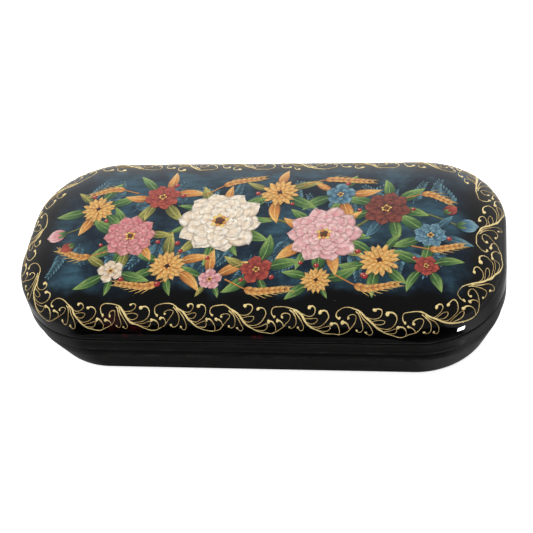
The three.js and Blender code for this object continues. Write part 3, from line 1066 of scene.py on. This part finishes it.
# Screen colours of each paint: deep, middle and light
IVORY = ((150, 112, 78), (232, 206, 172), (255, 248, 232))
PINK = ((140, 52, 66), (216, 140, 146), (248, 212, 206))
ROSE = ((110, 26, 44), (190, 84, 98), (238, 172, 166))
OCHRE = ((150, 78, 22), (228, 156, 62), (252, 218, 134))
BRICK = ((66, 12, 14), (142, 38, 30), (206, 92, 66))
GREEN = ((16, 40, 22), (58, 104, 46), (152, 182, 92))
OLIVE = ((44, 46, 16), (118, 118, 44), (206, 196, 104))
TAWNY = ((110, 54, 18), (206, 132, 50), (246, 202, 116))
TEAL = ((10, 30, 44), (28, 74, 94), (96, 146, 158))
BLUE = ((12, 36, 56), (44, 98, 126), (140, 184, 196))
RUSSET = ((36, 10, 10), (92, 32, 26), (156, 74, 54))
BERRY = (168, 34, 32)
BERRY_GLINT = (250, 200, 180)

# Right of this place the leaves turn cooler, in millimetres
COOL_FROM = 30

# Heights in millimetres: the step from coat to coat, and a plate's underside, just inside the lid
PAINT_STEP = 0.004
PAINT_UNDER = -0.05

# Heights of the first coats above the lid in millimetres
SPRIG_HEIGHT = 0.025
STEM_HEIGHT = 0.04
LEAVES_HEIGHT = 0.045
EAR_HEIGHT = 0.1
FLOWER_HEIGHT = 0.12
BERRY_HEIGHT = 0.13
GLINT_HEIGHT = 0.18

# How far in from the outline sprigs, leaves and berries stay, in millimetres
SPRIG_CLEAR = 9.5
LEAVES_CLEAR = 8.4
BERRY_CLEAR = 11

# How deep all tints are, and the sides of a dot
PAINT_DEPTH = 0.74
DOT_SIDES = 10

# A full turn as chance and the veins take it, and the least bend that an arc is reckoned with
ROUGH_TURN = 6.28
LEAST_BEND = 1e-3


def paint(colour):
    """A screen colour as linear light."""
    value = np.asarray(colour, float) / 255
    return np.where(value < 0.04045, value / 12.92, ((value + 0.055) / 1.055) ** 2.4)


def shaded(shades, tone):
    """Colours from deep through middle to light."""
    deep, middle, light = (paint(shade) for shade in shades)
    tone = np.clip(tone, 0, 1)[..., None]
    lower = deep + (middle - deep) * tone * 2
    upper = middle + (light - middle) * (tone * 2 - 1)
    return np.where(tone < 0.5, lower, upper)


def inset_at(x, y):
    """Inset of plan points from the case's outline."""
    beside = np.maximum(np.abs(x) - (HALF_L - HALF_W), 0)
    y = np.abs(y)
    straight = HALF_W - CORNER
    spread = CORNER ** 2 - 2 * straight ** 2
    both = straight * (beside + y)
    corner = (np.sqrt(both ** 2 + spread * (beside ** 2 + y ** 2)) - both) / spread
    flat = np.maximum(beside, y) / HALF_W
    share = np.where(np.minimum(beside, y) <= straight * flat, flat, corner)
    return HALF_W * (1 - share)


def on_dome(spots, height):
    """Plan points laid on the dome, a little above or below it."""
    share = np.clip(1 - inset_at(spots[:, 0], spots[:, 1]) / HALF_W, 0, 1)
    return np.c_[spots, DOME_BOTTOM + DOME_RISE * (1 - share ** DOME_POWER) ** (1 / DOME_POWER) + height]


def ahead(spot, angle, far):
    """The point at a distance from a spot."""
    return spot[0] + far * math.cos(angle), spot[1] + far * math.sin(angle)


def kept_inside(root, angle, length, margin):
    """A length cut down until its tip keeps clear of the border."""
    while length > 4 and inset_at(*ahead(root, angle, length)) < margin:
        length -= 0.5
    return length


def bent(root, angle, length, bend, share, lead=0.15):
    """Points and directions along an arc that turns by a bend, and points at the angle after its lead."""
    turn = bend if abs(bend) > LEAST_BEND else LEAST_BEND
    start = angle - turn * lead
    way = angle + turn * (share - lead)
    x = root[0] + length / turn * (np.sin(way) - math.sin(start))
    y = root[1] - length / turn * (np.cos(way) - math.cos(start))
    return x, y, way


class Picture:
    """Painted shapes as thin closed plates that follow the dome, each with its own tints."""

    def __init__(self, seed):
        self.points, self.faces, self.tints = [], [], []
        self.count = 0
        self.chance = random.Random(seed)

    def add(self, points, faces, tints):
        self.faces += [tuple(self.count + i for i in face) for face in faces]
        self.points.append(points)
        self.tints.append(tints)
        self.count += len(points)

    def plate(self, spots, tints, height):
        """A grid of plan points, forward by left, as a plate."""
        rows, columns = spots.shape[:2]
        under = rows * columns
        index = np.arange(under).reshape(rows, columns)
        edge = [*index[:-1, 0], *index[-1, :-1], *index[:0:-1, -1], *index[0, :0:-1]]
        count = len(edge)
        spots = spots.reshape(-1, 2)
        tints = tints.reshape(-1, 3)
        faces = [(index[i, j], index[i + 1, j], index[i + 1, j + 1], index[i, j + 1])
                 for i in range(rows - 1) for j in range(columns - 1)]
        for i in range(count):
            n = (i + 1) % count
            faces.append((under + i, under + n, edge[n], edge[i]))
        faces.append(tuple(under + i for i in reversed(range(count))))
        points = np.vstack([on_dome(spots, height), on_dome(spots[edge], PAINT_UNDER)])
        self.add(points, faces, np.vstack([tints, tints[edge]]))

    def blade(self, root, angle, length, width, shades, height, bend=0.0, peak=0.62, tip=0.7,
              ruffle=0.0, notch=0.0, lean=0.0, veins=0.0, tone=0.0):
        """A petal, leaf or grain from its root, deep at the root and light towards its tip."""
        u = np.linspace(0, 1, max(6, int(length / 0.9) + 1))[:, None]
        v = np.linspace(-1, 1, 9 if width > 3 else 5)[None, :]
        beside = np.abs(v)
        phase = self.chance.uniform(0, ROUGH_TURN)
        swell = np.sin(math.pi * u ** (math.log(0.5) / math.log(peak)))
        half = width / 2 * np.maximum(swell, 0) ** tip + 0.04
        reach = u + ruffle * u ** 3 * np.sin(v * 5.5 + phase) - notch * u ** 4 * np.exp(-(v / 0.35) ** 2)
        x, y, way = bent(root, angle, length, bend, reach)
        spots = np.stack([x - np.sin(way) * half * v, y + np.cos(way) * half * v], axis=2)
        streak = 0.09 * np.cos(v * 8 + phase) * u + 0.05 * np.cos(v * 19 + 2 * phase)
        rib = veins * np.cos((u * 7 - beside * 1.4) * ROUGH_TURN)
        bright = 0.22 * np.exp(-((beside - 0.7) / 0.2) ** 2) * u
        level = tone + 0.06 + 0.78 * u ** 0.85 + streak + rib + bright + lean * v
        contour = np.clip((beside - 0.8) / 0.2, 0, 1) * 0.5 + np.clip((u - 0.93) / 0.07, 0, 1) * 0.35
        tints = shaded(shades, level) * (1 - np.clip(contour, 0, 0.6))[..., None]
        self.plate(spots, tints, height)

    def stroke(self, drawn, widths, shades, height, tone=0.5):
        """A brush line through points."""
        line = flowing(drawn, 0.8)
        across = left_of(line) * half_widths(line, widths)[:, None]
        spots = line[:, None, :] + across[:, None, :] * np.array([-1, 0, 1])[None, :, None]
        light = np.repeat([[-0.2, 0.05, 0.2]], len(line), axis=0) + tone
        self.plate(spots, shaded(shades, light), height)

    def dot(self, spot, radius, colour, height):
        """A round dab of paint with a dark edge; its rings run clockwise, up to a tip."""
        rim = circle(DOT_SIDES)[::-1] * radius
        outer = rim + spot
        inner = rim * 0.6 + spot
        raised = on_dome(np.vstack([inner, [spot]]), height + radius * 0.04)
        points = np.vstack([on_dome(outer, PAINT_UNDER), on_dome(outer, height), raised])
        tints = np.repeat(paint(colour)[None, :], len(points), axis=0)
        tints[:2 * DOT_SIDES] *= 0.55
        self.add(points, tube_faces(3, DOT_SIDES, tip=True), tints)

    def leaf(self, root, angle, length, width, shades, height, bend):
        """A pointed leaf with a light midrib."""
        lean = 0.16 if math.cos(angle) > 0 else -0.16
        self.blade(root, angle, length, width, shades, height, bend, 0.42, 1.0, lean=lean, veins=0.07)
        x, y, _ = bent(root, angle, length, bend, np.array([0.0, 0.3, 0.6, 0.92]))
        self.stroke(np.c_[x, y], [0.32, 0.26, 0.12], shades, height + PAINT_STEP, 0.85)

    def blossom(self, spot, radius, shades, rings, heart, height):
        """Rings of petals from the outside in, and a dotted heart."""
        turn = self.chance.uniform(0, ROUGH_TURN)
        for ring, (count, reach, width) in enumerate(rings):
            for i in range(count):
                angle = turn + (i + 0.5 * (ring % 2)) / count * 2 * math.pi
                angle += self.chance.uniform(-0.07, 0.07)
                grow = self.chance.uniform(0.93, 1.05)
                self.blade(ahead(spot, angle, 0.04 * radius), angle, radius * reach * grow, radius * width,
                           shades, height, self.chance.uniform(-0.25, 0.25), 0.66, 0.62, ruffle=0.05,
                           notch=0.06, lean=0.08, tone=0.05 * ring - 0.06)
                height += PAINT_STEP
        middle, *beads = heart
        self.dot(spot, radius * 0.13, middle, height)
        for i in range(9):
            far = radius * (0.13 if i % 2 else 0.18)
            bead = ahead(spot, i / 9 * 2 * math.pi + turn, far)
            self.dot(bead, radius * 0.055, beads[i % 2], height + PAINT_STEP * (1 + i % 3))

    def bud(self, root, angle, length, shades, height):
        """A closed flower from the side, held in two small sepals."""
        for side, share in ((0.32, 0.9), (-0.32, 0.9), (0.0, 1.0)):
            self.blade(root, angle + side, length * share, length * 0.52, shades, height,
                       -side, 0.55, 0.7)
            height += PAINT_STEP
        for side in (0.55, -0.55):
            self.blade(root, angle + side, length * 0.5, length * 0.2, GREEN, height,
                       -side * 1.5, 0.45, 0.9)
            height += PAINT_STEP

    def ear(self, drawn, shades, height, grain=3.0):
        """An ear of grain along a line, with thin bristles."""
        self.stroke(drawn, [0.55, 0.4, 0.25], shades, height, 0.35)
        line = flowing(drawn, grain * 0.62)
        forward = np.gradient(line, axis=0)
        first, last = len(line) // 3, len(line) - 1
        for i in range(first, last + 1):
            way = math.atan2(forward[i][1], forward[i][0])
            share = (i - first) / (last - first)
            grow = grain * (1.12 - 0.5 * share ** 2)
            coat = height + PAINT_STEP * (1 + i % 3)
            for side in (0.42, -0.42) if i < last else (0.3, -0.3, 0.0):
                self.blade(line[i], way + side, grow, grow * 0.42, shades, coat,
                           -side * 0.8, 0.5, 0.8, tone=0.1)
            for side in (0.34, -0.34):
                self.blade(line[i], way + side, grow * 1.9, 0.26, shades, height - PAINT_STEP,
                           -side * 0.7, 0.3, 1.0, tone=0.25)

    def fern(self, root, angle, length, height, bend):
        """A sprig of narrow leaflets in the colours of the ground."""
        x, y, way = bent(root, angle, length, bend, np.linspace(0, 1, 9), lead=0.0)
        self.stroke(np.c_[x, y], [0.4, 0.3, 0.15], TEAL, height, 0.55)
        for i in range(1, 9):
            grow = length * (0.36 - 0.026 * i)
            for side in (0.75, -0.75):
                self.blade((x[i], y[i]), way[i] + side, grow, grow * 0.32, TEAL, height + PAINT_STEP,
                           -side * 0.5, 0.5, 0.9, tone=self.chance.uniform(-0.1, 0.3))

    def mesh(self, name):
        thing = new_object(name, np.vstack(self.points), self.faces)
        tints = np.vstack(self.tints) * PAINT_DEPTH
        store(thing, "tint", "FLOAT_COLOR", "color", np.c_[tints, np.ones(self.count)])
        return smoothed(thing, 40)


YELLOW_HEART = ((92, 50, 18), (250, 214, 110), (226, 150, 50))
DARK_HEART = ((40, 12, 12), (244, 204, 110), (120, 50, 30))

# Rings of petals: how many, then their length and width as shares of the flower's radius
FULL_RINGS = [(10, 1.0, 0.62), (9, 0.82, 0.56), (8, 0.63, 0.48), (6, 0.46, 0.4), (5, 0.3, 0.28)]
OPEN_RINGS = [(8, 1.0, 0.66), (7, 0.72, 0.5), (5, 0.46, 0.38)]
RAY_RINGS = [(15, 1.0, 0.27), (13, 0.8, 0.25), (10, 0.5, 0.2)]
FIVE_RINGS = [(5, 1.0, 0.9), (5, 0.55, 0.5)]

# Each flower: place, radius, shades, rings, heart
FLOWERS = [
    ((-13, 2), 14.0, IVORY, FULL_RINGS, YELLOW_HEART),
    ((23, -4), 11.8, PINK, FULL_RINGS, YELLOW_HEART),
    ((-43, -5), 8.8, ROSE, FULL_RINGS, YELLOW_HEART),
    ((43, 8), 7.6, RUSSET, OPEN_RINGS, YELLOW_HEART),
    ((-35, 14), 6.2, BRICK, OPEN_RINGS, YELLOW_HEART),
    ((6, 16), 6.4, OCHRE, RAY_RINGS, DARK_HEART),
    ((42, -15), 6.6, OCHRE, RAY_RINGS, DARK_HEART),
    ((-28, -18), 6.2, OCHRE, RAY_RINGS, DARK_HEART),
    ((-57, 8), 6.0, OCHRE, RAY_RINGS, DARK_HEART),
    ((2, -19), 5.2, BRICK, FIVE_RINGS, YELLOW_HEART),
    ((27, 15), 5.2, BLUE, FIVE_RINGS, YELLOW_HEART),
    ((58, -4), 5.2, BLUE, OPEN_RINGS, YELLOW_HEART),
    ((-47, -20), 4.4, IVORY, FIVE_RINGS, YELLOW_HEART),
    ((22, -23), 4.8, OCHRE, RAY_RINGS, DARK_HEART),
    ((-13, -23), 4.0, PINK, FIVE_RINGS, YELLOW_HEART),
    ((57, -17), 4.0, BRICK, FIVE_RINGS, YELLOW_HEART),
]

# The stem that joins the flowers, the ears of grain, and the buds: root, angle, length and shades
STEM = [(-67, -3), (-55, 1), (-43, -5), (-28, -3), (-13, 2), (5, 3), (23, -4), (34, 0), (43, 8),
        (55, 6), (67, 1)]
EARS = [
    [(-50, -12), (-58, -14), (-66, -11)], [(-24, -21), (-33, -25.5), (-43, -25)],
    [(-8, -23), (1, -27), (12, -26.5)], [(28, -21), (37, -25.5), (47, -24.5)],
    [(52, -9), (59, -10), (67, -8)], [(-20, 15), (-12, 21), (-2, 24)], [(14, 20), (22, 23), (36, 22)],
    [(49, 13), (56, 15), (63, 12)], [(-44, 16), (-52, 18), (-60, 16)],
]
BUDS = [((66, 1), 0.1, 7.5, BLUE), ((-66, -3), 3.3, 7.5, PINK), ((62, 6), 0.7, 5.5, BRICK),
        ((-62, -8), 3.7, 5.5, BRICK)]
SPRIGS = 46
BERRIES = 26


def leaf_shades(chance, x):
    """The colours of a leaf, cooler towards the right."""
    shades = chance.choice([GREEN, GREEN, OLIVE, TAWNY])
    return {OLIVE: GREEN, TAWNY: TEAL}.get(shades, shades) if x > COOL_FROM else shades


def garland():
    """A garland of garden flowers: sprigs behind, then leaves, ears of grain and blossoms."""
    sprigs, leaves, petals = Picture(3), Picture(5), Picture(8)
    chance = random.Random(21)
    for i in range(SPRIGS):
        x = -66 + 132 * (i + 0.5) / SPRIGS + chance.uniform(-1.5, 1.5)
        up = 1 if i % 2 else -1
        root = (x, up * chance.uniform(5, 13))
        angle = up * math.radians(chance.uniform(45, 120))
        length = kept_inside(root, angle, chance.uniform(9, 13), SPRIG_CLEAR)
        height = SPRIG_HEIGHT + PAINT_STEP * (i % 4)
        sprigs.fern(root, angle, length, height, chance.uniform(-0.9, 0.9))
    leaves.stroke(STEM, [0.5, 0.9, 1.1, 0.9, 0.5], OLIVE, STEM_HEIGHT, 0.35)
    for spot, radius, *_ in FLOWERS:
        count = int(radius * 0.55) + 3
        turn = chance.uniform(0, ROUGH_TURN)
        for i in range(count):
            angle = turn + i / count * 2 * math.pi + chance.uniform(-0.2, 0.2)
            root = ahead(spot, angle, radius * 0.6)
            length = kept_inside(root, angle, chance.uniform(8.5, 12.5), LEAVES_CLEAR)
            shades = leaf_shades(chance, spot[0])
            leaves.leaf(root, angle, length, length * chance.uniform(0.3, 0.4), shades,
                        LEAVES_HEIGHT + 2 * PAINT_STEP * chance.randrange(6), chance.uniform(-0.7, 0.7))
    for drawn in EARS:
        leaves.ear(drawn, TAWNY, EAR_HEIGHT)
    for bud in BUDS:
        petals.bud(*bud, FLOWER_HEIGHT)
    for flower in FLOWERS:
        petals.blossom(*flower, FLOWER_HEIGHT)
    for i in range(BERRIES):
        spot, radius, *_ = FLOWERS[i % len(FLOWERS)]
        spot = ahead(spot, chance.uniform(0, ROUGH_TURN), radius * 1.18)
        if inset_at(*spot) > BERRY_CLEAR:
            petals.dot(spot, chance.uniform(0.7, 1.05), BERRY, BERRY_HEIGHT)
            petals.dot((spot[0] - 0.3, spot[1] + 0.3), 0.25, BERRY_GLINT, GLINT_HEIGHT)
    return sprigs.mesh("painted_sprigs"), leaves.mesh("painted_leaves"), petals.mesh("painted_flowers")


# The case

def lacquer_lid(lid):
    """Black lacquer outside, and red lacquer on the faces that look into the lid's hollow."""
    lid.data.materials.clear()
    lid.data.materials.append(LID_LACQUER)
    lid.data.materials.append(RED_LACQUER)
    for face in lid.data.polygons:
        middle = face.center / MM
        inside = inset_at(middle.x, middle.y) > LID_WALL - 0.15
        if inside and face.normal.z < 0.2 and middle.z > LID_BOTTOM + 0.05:
            outward = Vector((middle.x, middle.y)).normalized()
            if face.normal.z < -0.3 or face.normal.xy.dot(outward) < -0.3:
                face.material_index = 1


lid = lid_shell()
lacquer_lid(lid)
scroll = gold_scroll(lid)
place_piece(lid, "lid", "lacquer_gloss", None, "lid_shell")
place_piece(scroll, "lid", "lacquer_gloss", None)
for layer in garland():
    place_piece(layer, "lid", "lacquer_gloss", MINIATURE)
place_piece(lid_lining(), "lid", "velvet", VELVET, "lid_lining")
place_piece(base_tray(), "base", "lacquer_satin", SATIN, "base_tray")
place_piece(base_rim(), "base", "lacquer_satin", SATIN, "base_rim")
place_piece(inner_collar(), "base", "lacquer_red", RED_LACQUER, "inner_collar")
place_piece(base_lining(), "base", "velvet", VELVET, "base_lining")
pad = place_piece(floor_pad(), "base", "velvet", VELVET, "floor_pad")

nail_seats = {"base": [], "lid": []}
for label, hinge_x in HINGE_XS.items():
    base_leaf = hinge_leaf(f"{label}_base_leaf", hinge_x, -1, (-KNUCKLE_PITCH, KNUCKLE_PITCH))
    place_piece(base_leaf, "base", "brass", BRASS, f"{label}_hinge_base_leaf")
    lid_leaf = hinge_leaf(f"{label}_lid_leaf", hinge_x, 1, (0.0,))
    place_piece(lid_leaf, "lid", "brass", BRASS, f"{label}_hinge_lid_leaf")
    ends = (hinge_x - HINGE_LENGTH / 2, hinge_x + HINGE_LENGTH / 2)
    pin = smoothed(rod_mm(f"{label}_pin", PIN, *ends, 24, PIN_EASE))
    place_piece(pin, "base", "steel", STEEL, f"{label}_hinge_pin")
    for nail_x in (hinge_x - NAIL_SPACING / 2, hinge_x + NAIL_SPACING / 2):
        nail_seats["base"].append((nail_x, HALF_W, HINGE_Z - NAIL_OFFSET))
        nail_seats["lid"].append((nail_x, HALF_W, HINGE_Z + NAIL_OFFSET))

nails, nail_inputs = nail_tree()
nail = nail_shape()
for body, seats in nail_seats.items():
    points = new_object(f"{body}_nail_seats", seats)
    values = {"Nail": nail, "Metal": BRASS, "Seed": NAIL_SEED}
    made = grown_mesh(f"{body}_nails", points, nails, nail_inputs, values)
    stands_for = [f"{label}_hinge_{body}_nail_{i}" for label in HINGE_XS for i in (1, 2)]
    place_piece(made, body, "brass", None, *stands_for)
bpy.data.objects.remove(nail)


# Studio

FLOOR_REACH = 2500
FLOOR_LIFT = 0.68
LEAST_GLOW = 0.008

# The photograph's viewpoint: angles in degrees, distance and aim in millimetres, and sizes in pixels
CAMERA_ANGLES = (14.887, 47.464, -10.722)
CAMERA_DISTANCE = 435.7
CAMERA_AIM = (0, 0, 14)
FOCUS_PX = 1248.3
CENTRE_PX = (265.446, 270.584)
FRAME_PX = 533.0
SENSOR = 36.0

# Each lamp: place and aim in metres, size, power, and whether gloss shows it
LAMPS = {
    "overhead": ((-0.1, 0.1, 1.2), (0, 0, 0), (2.6, 2.2), 38.0, False),
    "corner_lamp": ((0.3444, -0.1853, -0.4050), (0.0686, -0.0338, 0.0228), (0.062, 0.025), 0.23, True),
}


def floor_paint(tree):
    """Pale paint that shines a little to the camera, so that the shadow on it stays faint."""
    colour = mixed(noise(part_place(tree), 6.0), rgb(0.90, 0.90, 0.90), rgb(0.93, 0.93, 0.93))
    lift = add_node(tree, "ShaderNodeLightPath")["Is Camera Ray"] * FLOOR_LIFT
    principled(tree, Base_Color=colour, Roughness=0.9, Specular_IOR_Level=0.0, Emission_Color=rgb(1, 1, 1),
               Emission_Strength=lift)


def pale_floor():
    corners = [(x * FLOOR_REACH, y * FLOOR_REACH, 0) for x, y in ((-1, -1), (1, -1), (1, 1), (-1, 1))]
    floor = new_object("studio_floor", corners, [(0, 1, 2, 3)])
    floor.data.materials.append(new_material("pale_floor", floor_paint))
    floor.visible_glossy = False


def soft_light(name, place, aim, size, power, seen_in_gloss):
    data = bpy.data.lights.new(name, "AREA")
    data.shape = "RECTANGLE"
    data.size, data.size_y = size
    data.energy = power
    light = linked(name, data)
    light.location = place
    light.rotation_euler = (Vector(aim) - Vector(place)).to_track_quat("-Z", "Y").to_euler()
    light.visible_glossy = seen_in_gloss


def pale_room():
    """A room that is pale towards the horizon at the back and sides, and dark in front and overhead."""
    world = bpy.data.worlds.new("studio_room")
    tree = emptied_tree(world)
    x, y, z = xyz(add_node(tree, "ShaderNodeTexCoord")["Generated"])
    low = fading(z, 0.1, 1.0) * between(z, -0.98, -0.5)
    low_right = between(x, 0.15, 0.5) * fading(z, -0.7, -0.5, 0.5)
    horizon = low * between(y, -0.55, 0.35) * between(abs(x), 0.2, 0.9, 0.93, 0.46) * (1.0 - low_right)
    right_end = between(x, 0.48, 0.54, 0.0, 0.37) * between(y, -0.25, 0.35, 1.0, 0.35)
    left_end = fading(x, -0.62, -0.44, 0.22)
    ends = greater(right_end, left_end) * fading(z, 0.1, 0.5)
    above = between(z, -0.01, 0.03, 0.0, 0.16)
    beneath = fading(z, -0.92, -0.82, 0.125) * between(x, -0.08, 0.12)
    glow = greater(horizon, ends) + above + beneath + LEAST_GLOW
    glow = greater(glow, add_node(tree, "ShaderNodeLightPath")["Is Camera Ray"])
    shade = add_node(tree, "ShaderNodeBackground", {"Color": rgb(1, 1, 1), "Strength": glow})
    add_node(tree, "ShaderNodeOutputWorld", {"Surface": shade[0]})
    bpy.context.scene.world = world


def photo_camera():
    """The photograph's viewpoint: in front, to the right and above, with the camera turned a little."""
    azimuth, elevation, roll = (math.radians(angle) for angle in CAMERA_ANGLES)
    flat = math.cos(elevation)
    back = Vector((math.sin(azimuth) * flat, -math.cos(azimuth) * flat, math.sin(elevation)))
    level = (-back).cross(Vector((0, 0, 1))).normalized()
    rise = level.cross(-back)
    right = math.cos(roll) * level + math.sin(roll) * rise
    up = -math.sin(roll) * level + math.cos(roll) * rise
    data = bpy.data.cameras.new("photo_camera")
    data.sensor_width = SENSOR
    data.lens = FOCUS_PX * SENSOR / FRAME_PX
    data.shift_x = (FRAME_PX / 2 - CENTRE_PX[0]) / FRAME_PX
    data.shift_y = (CENTRE_PX[1] - FRAME_PX / 2) / FRAME_PX
    data.clip_start, data.clip_end = 0.01, 20.0
    camera = linked("photo_camera", data)
    spot = (Vector(CAMERA_AIM) + back * CAMERA_DISTANCE) * MM
    camera.matrix_world = Matrix.Translation(spot) @ Matrix((right, up, back)).transposed().to_4x4()
    bpy.context.scene.camera = camera


pale_floor()
pale_room()
photo_camera()
for name, values in LAMPS.items():
    soft_light(name, *values)
bpy.context.scene.view_settings.view_transform = "Standard"
